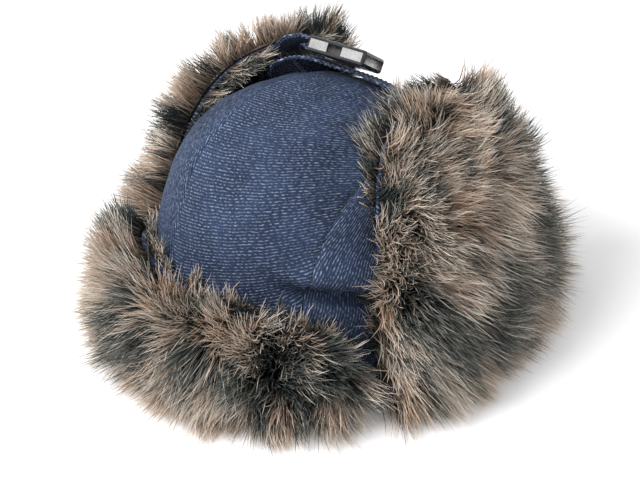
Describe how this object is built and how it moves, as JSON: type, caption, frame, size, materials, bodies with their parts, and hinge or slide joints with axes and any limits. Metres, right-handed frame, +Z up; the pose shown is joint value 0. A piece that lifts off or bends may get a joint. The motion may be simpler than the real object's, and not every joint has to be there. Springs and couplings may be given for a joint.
{
  "type": "trapper hat",
  "caption": "Denim trapper hat with a panelled padded crown, fur visor, neck and ear flaps turned up, and chin straps joined by a side-release buckle over the top.",
  "frame": {"origin": "on the floor under the middle of the hat, which stands on the rims of its turned-up flaps", "axes": "+Z up, the visor faces -Y, the wearer's left ear flap is on +X and the neck flap on +Y"},
  "size_m": [0.3016, 0.3265, 0.1813],
  "materials": {
    "denim": "woven indigo twill",
    "fur": "long faux fur, dark and tan patches with pale tips",
    "lining": "quilted satin",
    "wadding": "loose polyester fibre",
    "sweatband": "brushed twill",
    "buckle": "moulded satin black",
    "label": "woven satin, blank"
  },
  "bodies": {
    "crown": {"crown_centre_panel": "denim", "crown_side_panel_left": "denim", "crown_side_panel_right": "denim", "crown_wadding": "wadding", "lining_centre_panel": "lining", "lining_side_panel_left": "lining", "lining_side_panel_right": "lining", "sweatband": "sweatband", "size_label": "label"},
    "visor": {"visor_cloth": "denim", "visor_fur": "fur"},
    "neck_flap": {"neck_flap_cloth": "denim", "neck_flap_fur": "fur"},
    "ear_flap_left": {"ear_flap_left_cloth": "denim", "ear_flap_left_fur": "fur", "strap_left": "denim"},
    "ear_flap_right": {"ear_flap_right_cloth": "denim", "ear_flap_right_fur": "fur", "strap_right": "denim"},
    "plug": {"buckle_plug": "buckle"},
    "socket": {"buckle_socket": "buckle"}
  },
  "joints": [
    {"name": "visor_hinge", "type": "hinge", "parent": "crown", "child": "visor", "pos_m": [0, -0.112, 0.002], "axis": [1, 0, 0], "range_deg": [0, 100]},
    {"name": "neck_flap_hinge", "type": "hinge", "parent": "crown", "child": "neck_flap", "pos_m": [0, 0.112, 0.002], "axis": [-1, 0, 0], "range_deg": [0, 160]},
    {"name": "ear_flap_left_hinge", "type": "hinge", "parent": "crown", "child": "ear_flap_left", "pos_m": [0.1, 0, 0.002], "axis": [0, 1, 0], "range_deg": [0, 145], "deforming": ["strap_left"]},
    {"name": "ear_flap_right_hinge", "type": "hinge", "parent": "crown", "child": "ear_flap_right", "pos_m": [-0.1, 0, 0.002], "axis": [0, -1, 0], "range_deg": [0, 145], "deforming": ["strap_right"]},
    {"name": "plug_swing", "type": "hinge", "parent": "ear_flap_left", "child": "plug", "pos_m": [0.045, 0.044, 0.149], "axis": [0, 1, 0], "range_deg": [0, 44], "deforming": ["strap_left"]},
    {"name": "socket_swing", "type": "hinge", "parent": "ear_flap_right", "child": "socket", "pos_m": [-0.045, 0.029, 0.164], "axis": [0, -1, 0], "range_deg": [0, 74], "deforming": ["strap_right"]}
  ],
  "couplings": [
    {"joint": "plug_swing", "follows": "ear_flap_left_hinge", "ratio": 0.3},
    {"joint": "socket_swing", "follows": "ear_flap_right_hinge", "ratio": 0.51}
  ]
}
